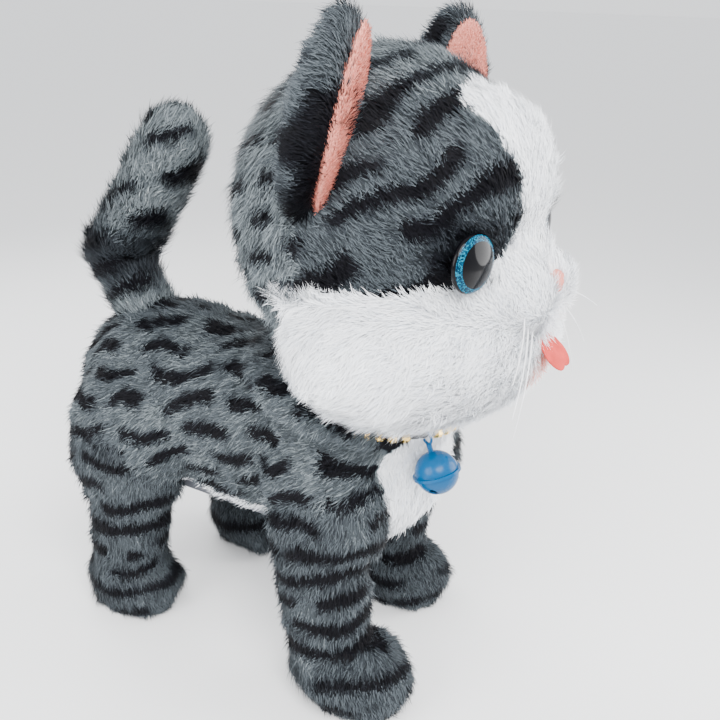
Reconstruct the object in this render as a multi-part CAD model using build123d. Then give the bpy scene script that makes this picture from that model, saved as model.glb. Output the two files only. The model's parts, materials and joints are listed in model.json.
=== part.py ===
"""Walking plush kitten: stuffed plush skin over a battery-driven walking chassis.

Units are millimetres. The kitten faces -Y, +X is its left side, +Z is up and z = 0 is the floor.
It is modelled in mid-stride, with one diagonal pair of legs forward.
"""
import os
from math import atan2, cos, degrees, hypot, radians, sin

from build123d import *

# ---------------------------------------------------------------- driving dimensions
fit_gap = 0.05                      # radial running clearance of a shaft in its bore
soft_gap = 0.7                      # gap between plush parts that move against each other

# head: skull, cheeks, muzzle and chin, all without their pile
skull_centre = (0, -46, 206)
skull_radii = (58, 60, 61)
cheek_centre = (0, -66, 164)
cheek_radii = (68, 50, 33)
muzzle_lobe = (9, -105, 185)
muzzle_radius = 13.5
chin_centre = (0, -92, 156)
chin_radii = (24, 21, 17)
plush_wall = 7                      # sewn skin and backing of the head
cheek_seam_point = (0, -42, 189)    # the white cheek panel ends at this sloping seam
cheek_seam_tilt = 12.8

# neck ball joint surfaces and nod axis
neck_pivot = (0, -40, 140)
neck_ball_radius = 47.4
neck_socket_radius = neck_ball_radius + 0.6
neck_socket_ceiling = 158
neck_collar_floor = 118             # cheeks may come down to here in front of the neck
head_rear_slope = 11                # underside of the head behind the neck
back_slope = 5.5                    # top of the shoulders behind the neck

# ears
ear_centre = (50, -47, 246)
ear_radii = (18, 11, 35)
ear_turn = 8
ear_lean = 13
ear_forward = 8

# eyes, nose, tongue and whiskers
eye_centre = (35, -99, 201)
eye_turn = 21
eye_radius = 10.2
eye_dome_height = 4.5
shank_radius = 2
shank_length = 13
nose_centre = (0, -119, 184)
tongue_size = (13, 2, 21)
tongue_centre = (0, -119, 163)
tongue_hang = -40                   # how far the tongue's tip swings out of the mouth
whisker_radius = 0.3
whisker_length = 46

# torso
torso_box = ((-38, 38), (-74, 110), (59, 138))
torso_corner = 22
chest_centre = (0, -43, 103)
chest_radii = (39, 36, 40)
rump_centre = (0, 54, 103)
rump_radii = (40, 63, 44)

# hips and legs: neutral places, swing at rest and leg sizes
hip_height = 85
front_hip_y = -47
rear_hip_y = 62
stride_angle = 6                    # each leg stands this far from its neutral place
axle_radius = 1.5
axle_half_length = 47
drum_radius = 24
drum_inner_x = 31.2
drum_outer_x = 56.5
leg_column_x = 40.4
leg_column_radii = (16.0, 17.5)
leg_inner_clear_radius = 29
paw_x = 38
paw_radii = (20.5, 25, 20)
paw_centre_height = 12.5
paw_toe_lead = 4                    # the paw reaches this far ahead of the ankle
sole_lift = 0.4                     # plush is held this far off the floor by the sole
foot_plate_size = (24, 36, 5)

# tail
tail_pivot = (0, 82, 145)
tail_bend = (0, 99, 164)
tail_tip = (0, 60, 222)
tail_ball_radius = 14.5
tail_radius = 13
tail_swing = 20

# chassis: side profile (y, z) and half width
chassis_half_width = 23.4
chassis_wall = 1.8
chassis_profile = [(-58, 80), (-50, 64), (86, 64), (96, 76),
                   (96, 100), (82, 116), (-50, 116), (-58, 108)]
cavity_half_width = 30.7
cavity_margin = 1.5
screw_places = [(-51, 110), (-51, 70.5), (88, 75), (86, 105)]
screw_radius = 1.3

# battery bay
cell_radius = 7.25
cell_length = 50.5
cell_x = 7.6
cell_z = 74.4
bay_y = (-16, 36)
door_half_width = 15.7
door_thickness = 1.8
door_hinge = (35.9, 62.95)          # y and z of the barrel that the door turns on
door_hinge_radius = 0.8

# gear train: module 0.5, three equal stages from the motor pinion to the crank gear
gear_module = 0.5
wheel_teeth = 36
pinion_teeth = 10
gear_width = 2.4
gear_planes = (13.2, 16.0, 18.8)
crank_centre = (8, 100)
idler_directions = (17, -17, -10)
gear_pin_radius = 1.0
crankshaft_radius = 2.0
crank_radius = 2.5
crank_pin_radius = 1.2
motor_size = (24.6, 20, 15)

# walking linkage
lever_length = 12
lever_pin_radius = 1.5
yoke_inner_x = 28
yoke_thickness = 2

# collar and jingle bell
collar_centre = (0, -40, 132.5)
collar_radius = 44.5
collar_tilt = 11.2
collar_cord_radius = 1.0
bead_radius = 2.4
bell_side = -20                     # the bell has slid this far towards the kitten's right
bell_lean = 21
bell_swing = 20
bell_radius = 8.8
bell_wall = 0.8
bell_drop = 15.9
bell_loop_radius = 2.8
clapper_radius = 2.6
bell_wire_radius = 0.55

centre_shift = 6.6                  # moves the whole kitten so that its box is centred on the origin

sides = {"right": -1, "left": 1}
parts = {}


# ---------------------------------------------------------------- shape helpers
def ellipsoid(centre, radii, turn=(0, 0, 0)):
    return Pos(*centre) * Rot(*turn) * scale(Sphere(1), by=tuple(radii))


def box_between(x_range, y_range, z_range):
    size = [high - low for low, high in (x_range, y_range, z_range)]
    middle = [(low + high) / 2 for low, high in (x_range, y_range, z_range)]
    return Pos(*middle) * Box(*size)


def rod_x(radius, x_range, y, z):
    return Pos(sum(x_range) / 2, y, z) * Rot(0, 90, 0) * Cylinder(radius, abs(x_range[1] - x_range[0]))


def rod_between(start, end, radius):
    start, end = Vector(*start), Vector(*end)
    frame = Plane(origin=(start + end) * 0.5, z_dir=end - start)
    return frame * Cylinder(radius, (end - start).length)


def side_plate(points, x_low, thickness):
    """Extrude a closed (y, z) outline along +X."""
    face = make_face(Polyline(*[(0, y, z) for y, z in points], close=True))
    return Pos(x_low, 0, 0) * extrude(face, amount=thickness, dir=(1, 0, 0))


def side_range(side, near, far):
    """An x range measured outwards from the middle plane on one side."""
    return tuple(sorted((side * near, side * far)))


def below_plane(y, z, tilt, depth=200):
    """A large block whose top face passes through (y, z), rising towards +Y by tilt degrees."""
    return Pos(0, y, z) * Rot(tilt, 0, 0) * Pos(0, 0, -depth / 2) * Box(400, 400, depth)


def above_plane(y, z, tilt, depth=200):
    return Pos(0, y, z) * Rot(tilt, 0, 0) * Pos(0, 0, depth / 2) * Box(400, 400, depth)


def leg_sector(hip_y, x_range, radius=46, half_angle=54):
    """The pie slice that a leg sweeps below its hip axle."""
    corners = [(hip_y, hip_height)]
    for angle in (-half_angle, -half_angle / 3, half_angle / 3, half_angle):
        corners.append((hip_y + radius * sin(radians(angle)), hip_height - radius * cos(radians(angle))))
    return side_plate(corners, x_range[0], x_range[1] - x_range[0])


# ---------------------------------------------------------------- head
def head_outline():
    head = ellipsoid(skull_centre, skull_radii) + ellipsoid(cheek_centre, cheek_radii)
    for side in sides.values():
        x, y, z = muzzle_lobe
        head += Pos(side * x, y, z) * Sphere(muzzle_radius)
    head += ellipsoid(chin_centre, chin_radii)
    socket = Pos(*neck_pivot) * Sphere(neck_socket_radius)
    socket &= below_plane(0, neck_socket_ceiling, 0)
    behind_neck = box_between((-90, 90), (neck_pivot[1], 60), (90, 260))
    head -= socket
    head -= below_plane(neck_pivot[1], neck_pivot[2], head_rear_slope) & behind_neck
    return head


def eye_frame(side):
    x, y, z = eye_centre
    return Pos(side * x, y, z) * Rot(0, 0, side * eye_turn) * Rot(90, 0, 0)


def eye_solid(side):
    dome = scale(Sphere(1), by=(eye_radius, eye_radius, eye_dome_height))
    dome &= Pos(0, 0, 10) * Box(30, 30, 20)
    rim = Pos(0, 0, -1) * Cylinder(eye_radius, 2)
    shank = Pos(0, 0, -2 - shank_length / 2) * Cylinder(shank_radius, shank_length)
    return eye_frame(side) * (dome + rim + shank)


def eye_washer(side):
    ring = Pos(0, 0, -11.5) * (Cylinder(6, 1.6) - Cylinder(shank_radius, 2))
    return eye_frame(side) * ring


def ear_frame(side):
    x, y, z = ear_centre
    leaning = Rot(ear_forward, 0, 0) * Rot(0, -side * ear_lean, 0)
    return Pos(side * x, y, z) * leaning * Rot(0, 0, -side * ear_turn)


def nose_solid():
    outline = make_face(Polyline((-6.5, 5.5), (6.5, 5.5), (5, 1), (0, -6.5), (-5, 1), close=True))
    nose = extrude(outline, amount=5)
    nose = fillet(nose.edges().filter_by(Axis.Z), 1.4)
    return Pos(0, nose_centre[1] + 3.2, nose_centre[2]) * Rot(90, 0, 0) * nose


def tongue_solid():
    width, thickness, length = tongue_size
    tab = Box(width, thickness, length)
    tab = fillet(tab.edges().filter_by(Axis.Y).group_by(Axis.Z)[0], width / 2 - 0.2)
    return Pos(*tongue_centre) * Rot(tongue_hang, 0, 0) * tab


def whisker_solids():
    solids = []
    for side in sides.values():
        for rise, sweep in ((10, 6), (-6, 0), (-22, -6)):
            root = Vector(side * 17, -111, 180 + rise * 0.25)
            reach = Vector(side * 0.80, -0.34 + sweep * 0.01, sin(radians(rise))).normalized()
            solids.append(rod_between(root, root + reach * whisker_length, whisker_radius))
    return solids


def make_head():
    outline = head_outline()
    inner_radii = [radius - plush_wall for radius in skull_radii]
    hollow = ellipsoid(skull_centre, inner_radii)
    eyes = {name: eye_solid(side) for name, side in sides.items()}
    washers = [eye_washer(side) for side in sides.values()]
    nose = nose_solid()
    tongue = tongue_solid()
    frame = head_frame_solid()
    skin = outline - hollow - nose - tongue - frame
    for side in sides.values():
        eye_seat = Pos(0, 0, 4) * Cylinder(eye_radius, 12) + Pos(0, 0, -9) * Cylinder(6.2, 14)
        skin -= eye_frame(side) * eye_seat
    cheek_cut = below_plane(cheek_seam_point[1], cheek_seam_point[2], -cheek_seam_tilt)
    parts["cheek_plush"] = skin & cheek_cut
    parts["head_plush"] = skin - cheek_cut
    filling = ellipsoid(skull_centre, [radius - 0.3 for radius in inner_radii])
    filling &= above_plane(0, neck_socket_ceiling + 0.5, 0)
    filling -= frame
    filling -= [eye_frame(side) * Pos(0, 0, -9) * Cylinder(6.2, 14) for side in sides.values()]
    parts["head_stuffing"] = filling
    parts["head_frame"] = frame
    parts["nose"] = nose
    parts["tongue"] = tongue
    parts["eye_washers"] = Compound(washers)
    parts["whiskers"] = Compound([whisker - skin for whisker in whisker_solids()])
    for name, side in sides.items():
        parts[f"eye_{name}"] = eyes[name]
    flap = scale(Sphere(1), by=ear_radii)
    split = -ear_radii[1] * 0.2
    for node, reach in (("ear", 20), ("ear_lining", -20)):
        half = ear_frame(sides["right"]) * (flap & Pos(0, split + reach, 0) * Box(90, 40, 120))
        parts[f"{node}_right"] = largest(half - outline)
        parts[f"{node}_left"] = mirror(parts[f"{node}_right"], about=Plane.YZ)


def head_frame_solid():
    x, y, z = neck_pivot
    hub = rod_x(5.5, (-5.7, 5.7), y, z) - rod_x(axle_radius + fit_gap, (-8, 8), y, z)
    arm = box_between((-5.5, 5.5), (y - 4, y + 4), (z + 4, z + 28)) - rod_x(3, (-8, 8), y, z)
    deck = Pos(0, y - 8, z + 29) * Cylinder(26, 3)
    ring = Pos(0, y - 8, z + 38) * (Cylinder(26, 18) - Cylinder(23.5, 18))
    return hub + arm + deck + ring


def largest(shape):
    """Keep the biggest solid of a boolean result."""
    return max(shape.solids(), key=lambda solid: solid.volume)


# ---------------------------------------------------------------- torso
def hip_places():
    """Name, side, hip y and stance angle (foot back is positive) of each leg."""
    return [
        ("front_right", -1, front_hip_y, -stride_angle),
        ("front_left", 1, front_hip_y, stride_angle),
        ("rear_right", -1, rear_hip_y, stride_angle),
        ("rear_left", 1, rear_hip_y, -stride_angle),
    ]


def neck_post_solid():
    x, y, z = neck_pivot
    base = box_between((-12, 12), (y - 8, y + 8), (116, 119))
    fork = box_between((-10, 10), (y - 6, y + 6), (119, z + 4))
    slot = box_between((-6, 6), (y - 10, y + 10), (z - 9, z + 10))
    return base + fork - slot - rod_x(axle_radius, (-20, 20), y, z)


def tail_bracket_solid():
    x, y, z = tail_pivot
    foot = box_between((-8, 8), (64, 80), (116, 119))
    post = box_between((-5, 5), (70, 79), (119, 129.5))
    shelf = box_between((-5, 5), (70, y + 5), (126.5, 129.5))
    return foot + post + shelf - Pos(x, y, 125) * Cylinder(axle_radius, 20)


def make_torso():
    torso = box_between(*torso_box)
    torso = fillet(torso.edges(), torso_corner)
    torso += ellipsoid(chest_centre, chest_radii)
    torso += ellipsoid(rump_centre, rump_radii)
    neck_slice = box_between((-60, 60), (-100, 20), (105, 148))
    torso += (Pos(*neck_pivot) * Sphere(neck_ball_radius)) & neck_slice

    # the head's room: above the collar in front, above the sloping shoulders behind
    front_room = box_between((-80, 80), (-140, neck_pivot[1]), (neck_collar_floor, 220))
    rear_room = above_plane(neck_pivot[1], neck_pivot[2], back_slope)
    rear_room &= box_between((-80, 80), (neck_pivot[1], 48), (100, 240))
    ball = Pos(*neck_pivot) * Sphere(neck_ball_radius)
    torso -= (front_room + rear_room) - ball

    # room for legs, chassis, tail and collar
    for name, side, hip_y, stance in hip_places():
        torso -= rod_x(drum_radius + soft_gap, side_range(side, cavity_half_width, 70), hip_y, hip_height)
        torso -= leg_sector(hip_y, side_range(side, cavity_half_width, 70))
        inner = leg_sector(hip_y, side_range(side, chassis_half_width + 0.4, cavity_half_width))
        inner -= rod_x(leg_inner_clear_radius - 0.5, side_range(side, 10, 40), hip_y, hip_height)
        torso -= inner
    low_y, low_z = chassis_profile[0][0] - cavity_margin, chassis_profile[1][1]
    torso -= box_between((-cavity_half_width, cavity_half_width), (low_y, 97.5), (low_z, 120.5))
    torso -= box_between((-13, 13), (neck_pivot[1] - 13, neck_pivot[1] + 13), (115, 160))
    torso -= box_between((-9, 9), (63, 90), (115, 131))
    torso -= Pos(*tail_pivot) * Sphere(tail_ball_radius + soft_gap)
    for swing in (-tail_swing, 0, tail_swing):
        bend = Vector(*tail_bend) - Vector(*tail_pivot)
        bend = Vector(*tail_pivot) + bend.rotate(Axis.Z, swing) * 1.6
        torso -= rod_between(tail_pivot, bend, tail_radius + 1.8)
    torso -= box_between((-18.5, 18.5), (bay_y[0] - 3, bay_y[1] + 3), (50, 66))
    torso -= box_between((-8, 8), (-40, -28), (50, 66))
    torso -= collar_frame() * Torus(collar_radius, 2.9)
    torso -= Pos(*bell_pivot()) * Sphere(6)
    for swing in (-bell_swing, 0, bell_swing):
        torso -= bell_frame() * Rot(0, swing, 0) * Pos(0, 0, -bell_drop) * Sphere(bell_radius + 1.8)
    parts["torso_plush"] = largest(torso)
    parts["neck_post"] = neck_post_solid()
    parts["tail_bracket"] = tail_bracket_solid()
    neck_pin = rod_x(axle_radius, (-10, 10), neck_pivot[1], neck_pivot[2])
    tail_pin = Pos(0, tail_pivot[1], 138.7) * Cylinder(axle_radius, 24.4)
    parts["pivot_pins"] = Compound([neck_pin, tail_pin])


# ---------------------------------------------------------------- tail
def make_tail():
    core = rod_between(tail_pivot, tail_bend, 3.2) + Pos(*tail_bend) * Sphere(3.2)
    core += rod_between(tail_bend, tail_tip, 3.2) + Pos(*tail_tip) * Sphere(3.2)
    x, y, z = tail_pivot
    core += Pos(x, y, z - 3.4) * Cylinder(6, 18.8)
    core -= Pos(x, y, z - 6) * Cylinder(axle_radius + fit_gap, 30)
    plush = Pos(*tail_pivot) * Sphere(tail_ball_radius) + rod_between(tail_pivot, tail_bend, tail_radius)
    plush += Pos(*tail_bend) * Sphere(tail_radius)
    plush += rod_between(tail_bend, tail_tip, tail_radius) + Pos(*tail_tip) * Sphere(tail_radius)
    plush -= Pos(x, y, z - 8.2) * Cylinder(6.5, 30)
    parts["tail_plush"] = largest(plush - core)
    parts["tail_core"] = core


# ---------------------------------------------------------------- legs
def make_leg(name, side, hip_y, stance):
    lean = sin(radians(stance)) / cos(radians(stance))
    ankle_y = hip_y + lean * hip_height

    # plastic leg: hub on the axle, strut, foot plate and the lever with its pin
    hub = rod_x(8, side_range(side, 30.4, 44), hip_y, hip_height)
    strut = Pos(side * 38, (hip_y + ankle_y) / 2, hip_height / 2 + 1)
    strut = strut * Rot(stance, 0, 0) * Box(8, 14, hip_height - 4)
    width, length, height = foot_plate_size
    plate = Pos(side * paw_x, ankle_y - paw_toe_lead, height / 2) * Box(width, length, height)
    plate = fillet(plate.edges().filter_by(Axis.Z), 8)
    lever_down = 1 if name.startswith("front") else -1
    pin_y = hip_y + lever_down * lever_length * sin(radians(stance))
    pin_z = hip_height - lever_down * lever_length * cos(radians(stance))
    lever = rod_x(3.5, side_range(side, 30.4, 32.4), pin_y, pin_z)
    web_turn = degrees(atan2(pin_z - hip_height, pin_y - hip_y))
    web = Pos(side * 31.4, (hip_y + pin_y) / 2, (hip_height + pin_z) / 2)
    lever += web * Rot(web_turn, 0, 0) * Box(2, lever_length, 7)
    lever += rod_x(lever_pin_radius, side_range(side, yoke_inner_x - 0.1, 31), pin_y, pin_z)
    frame = hub + strut + lever
    frame &= above_plane(0, 2, 0)
    frame = (frame + plate) - rod_x(axle_radius + fit_gap, side_range(side, 20, 60), hip_y, hip_height)

    # plush leg: drum at the hip, slanting column and rounded paw
    drum = rod_x(drum_radius, side_range(side, drum_inner_x, drum_outer_x), hip_y, hip_height)
    drum = fillet(drum.edges().sort_by(lambda edge: side * edge.center().X)[-1], 8)
    column = Pos(side * leg_column_x, (hip_y + ankle_y) / 2, hip_height / 2) * Rot(stance, 0, 0)
    column = column * extrude(Ellipse(*leg_column_radii), amount=(hip_height - 22) / 2, both=True)
    paw = ellipsoid((side * paw_x, ankle_y - paw_toe_lead, paw_centre_height), paw_radii)
    lower = column + paw
    lower -= rod_x(leg_inner_clear_radius, side_range(side, 0, drum_inner_x), hip_y, hip_height)
    plush = drum + lower
    plush &= above_plane(0, sole_lift, 0)
    axle_room = rod_x(axle_radius + 1.5, side_range(side, 40, axle_half_length + 1), hip_y, hip_height)
    cap_room = rod_x(4, side_range(side, 43.5, axle_half_length + 1), hip_y, hip_height)
    parts[f"leg_frame_{name}"] = frame
    parts[f"leg_plush_{name}"] = largest(plush - frame - axle_room - cap_room)


# ---------------------------------------------------------------- walking mechanism
def gear_wheel(teeth, centre, x_low, phase, bore):
    """A spur gear about an X axis; phase is the angle of one tooth's middle, in degrees."""
    pitch_radius = gear_module * teeth / 2
    root = pitch_radius - 1.2 * gear_module
    tip = pitch_radius + 0.75 * gear_module
    step = 360 / teeth
    outline = []
    for tooth in range(teeth):
        middle = phase + tooth * step
        for share, radius in ((-0.30, root), (-0.10, tip), (0.10, tip), (0.30, root)):
            angle = radians(middle + share * step)
            outline.append((centre[0] + radius * cos(angle), centre[1] + radius * sin(angle)))
    wheel = side_plate(outline, x_low, gear_width)
    return wheel - rod_x(bore, (x_low - 1, x_low + gear_width + 1), *centre)


def gear_centres():
    distance = gear_module * (wheel_teeth + pinion_teeth) / 2
    centres = [crank_centre]
    for direction in idler_directions:
        y, z = centres[-1]
        centres.append((y + distance * cos(radians(direction)), z + distance * sin(radians(direction))))
    return centres


def make_gears():
    """Crank gear, two compound idlers and the motor pinion, each in mesh with the next."""
    crank, idler_two, idler_one, motor = gear_centres()
    to_two, to_one, to_motor = idler_directions
    gap = 180 / pinion_teeth
    plane_a, plane_b, plane_c = gear_planes
    bore = gear_pin_radius + fit_gap
    parts["crank_gear"] = gear_wheel(wheel_teeth, crank, plane_c, to_two, crankshaft_radius)
    small_two = gear_wheel(pinion_teeth, idler_two, plane_c, to_two + 180 + gap, bore)
    large_two = gear_wheel(wheel_teeth, idler_two, plane_b, to_one, bore)
    hub_two = rod_x(1.8, (plane_b, plane_c + gear_width), *idler_two)
    hub_two -= rod_x(bore, (plane_b - 1, plane_c + 4), *idler_two)
    parts["idler_gear_2"] = small_two + large_two + hub_two
    small_one = gear_wheel(pinion_teeth, idler_one, plane_b, to_one + 180 + gap, bore)
    large_one = gear_wheel(wheel_teeth, idler_one, plane_a, to_motor, bore)
    hub_one = rod_x(1.8, (plane_a, plane_b + gear_width), *idler_one)
    hub_one -= rod_x(bore, (plane_a - 1, plane_b + 4), *idler_one)
    parts["idler_gear_1"] = small_one + large_one + hub_one
    pinion = gear_wheel(pinion_teeth, motor, plane_a, to_motor + 180 + gap, 0.9)
    parts["motor_pinion"] = pinion + rod_x(1.0, (6, plane_a + gear_width), *motor)

    shaft_end = chassis_half_width + 2.6
    parts["crankshaft"] = rod_x(crankshaft_radius, (-shaft_end, shaft_end), *crank)
    discs = []
    for name, side in sides.items():
        pin_angle = radians(120 if name == "right" else 300)
        pin_y = crank[0] + crank_radius * cos(pin_angle)
        pin_z = crank[1] + crank_radius * sin(pin_angle)
        disc = rod_x(6, side_range(side, chassis_half_width + 0.6, shaft_end), *crank)
        disc -= rod_x(crankshaft_radius, (-40, 40), *crank)
        pin = rod_x(crank_pin_radius, side_range(side, shaft_end, yoke_inner_x - 0.4), pin_y, pin_z)
        discs.append(disc + pin)
    parts["crank_discs"] = Compound(discs)

    pins = [rod_x(gear_pin_radius, (10.8, chassis_half_width), *place) for place in (idler_one, idler_two)]
    parts["gear_pins"] = Compound(pins)
    plate = box_between((10.8, 12.4), (-2, 56), (84, 114.2))
    plate -= rod_x(crankshaft_radius + 0.3, (5, 20), *crank)
    plate -= [rod_x(gear_pin_radius, (5, 20), *place) for place in (idler_one, idler_two)]
    parts["gearbox_plate"] = plate - rod_x(3.1, (5, 20), *motor)
    length, width, height = motor_size
    can = Pos(10.8 - length / 2, *motor) * Box(length, width, height)
    can = fillet(can.edges().filter_by(Axis.X), 5)
    can += rod_x(3, (10.8, 12.4), *motor)
    parts["motor"] = can - rod_x(1.0 + fit_gap, (5.8, 13), *motor)


def make_yoke(name, side):
    """Flat bar that joins the front and rear leg levers and is pushed by the crank pin."""
    stance = stride_angle * side
    shift = lever_length * sin(radians(stance))
    drop = lever_length * cos(radians(stance))
    front = (front_hip_y + shift, hip_height - drop)
    rear = (rear_hip_y + shift, hip_height + drop)
    crank = (crank_centre[0] + shift * crank_radius / (lever_length * sin(radians(12))), crank_centre[1])
    slope = degrees(atan2(rear[1] - front[1], rear[0] - front[0]))
    span = hypot(rear[0] - front[0], rear[1] - front[1])
    x_range = side_range(side, yoke_inner_x, yoke_inner_x + yoke_thickness)
    x_middle = sum(x_range) / 2
    bar = Pos(x_middle, (front[0] + rear[0]) / 2, (front[1] + rear[1]) / 2) * Rot(slope, 0, 0)
    yoke = bar * Box(yoke_thickness, span, 7)
    yoke += rod_x(4, x_range, *front) + rod_x(4, x_range, *rear)
    yoke += Pos(x_middle, crank[0], (crank[1] + hip_height) / 2) * Box(yoke_thickness, 9, 29)
    for place, reach, radius in ((front, 0.8, lever_pin_radius), (rear, 0.8, lever_pin_radius),
                                 (crank, 2 * crank_radius + 0.6, crank_pin_radius)):
        width = 2 * radius + 0.2
        yoke -= Pos(x_middle, *place) * Box(4, width, reach)
        for end in (-reach / 2, reach / 2):
            yoke -= rod_x(width / 2, (x_middle - 2, x_middle + 2), place[0], place[1] + end)
    parts[f"yoke_{name}"] = yoke


# ---------------------------------------------------------------- chassis and electrics
def make_chassis():
    shell = side_plate(chassis_profile, -chassis_half_width, 2 * chassis_half_width)
    shell = fillet(shell.edges().filter_by(Axis.X), 4)
    inner_profile = make_face(Polyline(*[(0, y, z) for y, z in chassis_profile], close=True))
    inner_width = chassis_half_width - chassis_wall
    inner_face = offset(inner_profile, amount=-chassis_wall)
    shell -= Pos(-inner_width, 0, 0) * extrude(inner_face, amount=2 * inner_width, dir=(1, 0, 0))
    for y, z in screw_places:
        shell += rod_x(3, (-inner_width, inner_width), y, z)
        shell -= rod_x(screw_radius, (-chassis_half_width - 1, 8), y, z)
    for hip_y in (front_hip_y, rear_hip_y):
        shell += rod_x(4, (-inner_width, -inner_width + 3), hip_y, hip_height)
        shell += rod_x(4, (inner_width - 3, inner_width), hip_y, hip_height)
        shell -= rod_x(axle_radius, (-40, 40), hip_y, hip_height)
    shell -= rod_x(crankshaft_radius + fit_gap, (-40, 40), *crank_centre)
    for place in gear_centres()[1:3]:
        shell -= rod_x(gear_pin_radius, (15, 40), *place)
    door_room = door_half_width + 0.3
    shell -= box_between((-door_room, door_room), (bay_y[0], bay_y[1] + 0.3), (60, 67))
    shell -= box_between((-4.6, 4.6), (-35.6, -32.4), (60, 67))
    shell -= Pos(0, 40, 116) * Cylinder(5.2, 8)
    for x in (-6, 0, 6):
        shell -= [Pos(x, -57, z) * Rot(90, 0, 0) * Cylinder(1.2, 8) for z in (88, 94, 100)]
    for name, side in sides.items():
        half = box_between(side_range(side, 0, 40), (-80, 120), (50, 130))
        parts[f"chassis_{name}"] = largest(shell & half)
    axles = [rod_x(axle_radius, (-axle_half_length, axle_half_length), hip_y, hip_height)
             for hip_y in (front_hip_y, rear_hip_y)]
    parts["hip_axles"] = Compound(axles)
    caps = []
    for hip_y in (front_hip_y, rear_hip_y):
        for side in sides.values():
            cap = rod_x(3.6, side_range(side, 44.3, 46.3), hip_y, hip_height)
            caps.append(cap - rod_x(axle_radius, (-60, 60), hip_y, hip_height))
    parts["axle_caps"] = Compound(caps)
    screws = []
    for y, z in screw_places:
        head = rod_x(2.5, (-chassis_half_width - 1.4, -chassis_half_width), y, z)
        head -= box_between((-26, -chassis_half_width - 0.7), (y - 1.8, y + 1.8), (z - 0.3, z + 0.3))
        head -= box_between((-26, -chassis_half_width - 0.7), (y - 0.3, y + 0.3), (z - 1.8, z + 1.8))
        screws.append(head + rod_x(screw_radius, (-chassis_half_width, 7), y, z))
    parts["chassis_screws"] = Compound(screws)


def make_electrics():
    tray = box_between((-16.4, 16.4), (bay_y[0] - 1.6, bay_y[1] + 1.6), (67.2, 83))
    cell_middle = sum(bay_y) / 2
    cells = []
    contacts = []
    for x in (-cell_x, cell_x):
        lying = Pos(x, cell_middle, cell_z) * Rot(90, 0, 0)
        tray -= lying * Cylinder(cell_radius + 0.15, bay_y[1] - bay_y[0])
        tray -= box_between((x - 7.4, x + 7.4), bay_y, (60, cell_z))
        cells.append(lying * (Cylinder(cell_radius, cell_length - 1.5) + Cylinder(2.6, cell_length)))
        for end in bay_y:
            inward = 1 if end == bay_y[0] else -1
            plate = Pos(x, end + inward * 0.2, cell_z) * Box(9, 0.4, 10)
            contacts.append(plate)
    parts["battery_tray"] = tray
    parts["battery_cells"] = Compound(cells)
    parts["battery_contacts"] = Compound(contacts)

    door_span = (bay_y[0] + 0.3, bay_y[1] - 0.4)
    door = box_between((-door_half_width, door_half_width), door_span, (62.2, 62.2 + door_thickness))
    door = fillet(door.edges().filter_by(Axis.Z), 2)
    lips = box_between((-6, 6), (bay_y[1] - 2.5, door_hinge[0]), (62.2, 65.2))
    lips += rod_x(door_hinge_radius, (-10, 10), *door_hinge)
    door_screw_y = bay_y[0] + 5
    screw_hole = Pos(0, door_screw_y, 63) * Cylinder(1.4, 8)
    parts["battery_door"] = door + lips - screw_hole
    head = Pos(0, door_screw_y, 61.6) * Cylinder(2.6, 1.2) - Pos(0, door_screw_y, 61.2) * Box(3.6, 0.7, 0.8)
    parts["door_screw"] = head + Pos(0, door_screw_y, 63.9) * Cylinder(1.35, 3.6)

    board = box_between((-18, 18), (-42, -6), (106, 107.6))
    for x, y, width, length, height in ((-8, -22, 9, 9, 1.8), (6, -30, 6, 8, 2.4), (9, -14, 5, 5, 3.4)):
        board += Pos(x, y, 107.6 + height / 2) * Box(width, length, height)
    parts["circuit_board"] = board
    speaker = Pos(0, -53.6, 94) * Rot(90, 0, 0) * Cylinder(12, 4)
    parts["speaker"] = speaker + Pos(0, -50.4, 94) * Rot(90, 0, 0) * Cylinder(6.5, 3)
    case = box_between((-8, 8), (-37, -31), (66.4, 71.4))
    parts["switch_body"] = case - box_between((-4.6, 4.6), (-36, -32), (60, 69))
    knob = box_between((-2, 2), (-35.2, -32.8), (61, 68.2))
    knob += box_between((-2.6, 2.6), (-35.2, -32.8), (66.6, 68.2))
    parts["switch_knob"] = Pos(-1.9, 0, 0) * knob
    button = Pos(0, 40, 114.8) * Cylinder(5, 6) + Pos(0, 40, 112) * Cylinder(6.6, 1.4)
    parts["touch_button"] = button


# ---------------------------------------------------------------- collar and bell
def collar_frame():
    return Pos(*collar_centre) * Rot(collar_tilt, 0, 0)


def collar_point(angle, radius=collar_radius):
    """A point of the collar; angle 0 is the front, positive towards the kitten's left."""
    flat = Vector(radius * sin(radians(angle)), -radius * cos(radians(angle)), 0)
    return Vector(*collar_centre) + flat.rotate(Axis.X, collar_tilt)


def bell_angle():
    return degrees(atan2(bell_side, (collar_radius ** 2 - bell_side ** 2) ** 0.5))


def bell_pivot():
    return tuple(collar_point(bell_angle()))


def bell_frame():
    return Pos(*bell_pivot()) * Rot(-bell_lean, 0, 0)


def make_collar():
    parts["collar_cord"] = collar_frame() * Torus(collar_radius, collar_cord_radius)
    beads = []
    pitch = degrees(2.15 * bead_radius / collar_radius)
    count = 8
    for step in range(-count, count + 1):
        angle = bell_angle() + 14 + step * pitch
        if abs(angle - bell_angle()) < 6.5:
            continue
        nugget = Box(1.7 * bead_radius, 1.75 * bead_radius, 1.75 * bead_radius)
        nugget = chamfer(nugget.edges(), 0.42 * bead_radius)
        nugget -= Rot(0, 90, 0) * Cylinder(collar_cord_radius + 0.12, 3 * bead_radius)
        lie = Rot(0, 0, angle) * Rot(step * 37 % 90, 0, 0)
        beads.append(Pos(*collar_point(angle)) * Rot(collar_tilt, 0, 0) * lie * nugget)
    parts["collar_beads"] = Compound(beads)


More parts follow.
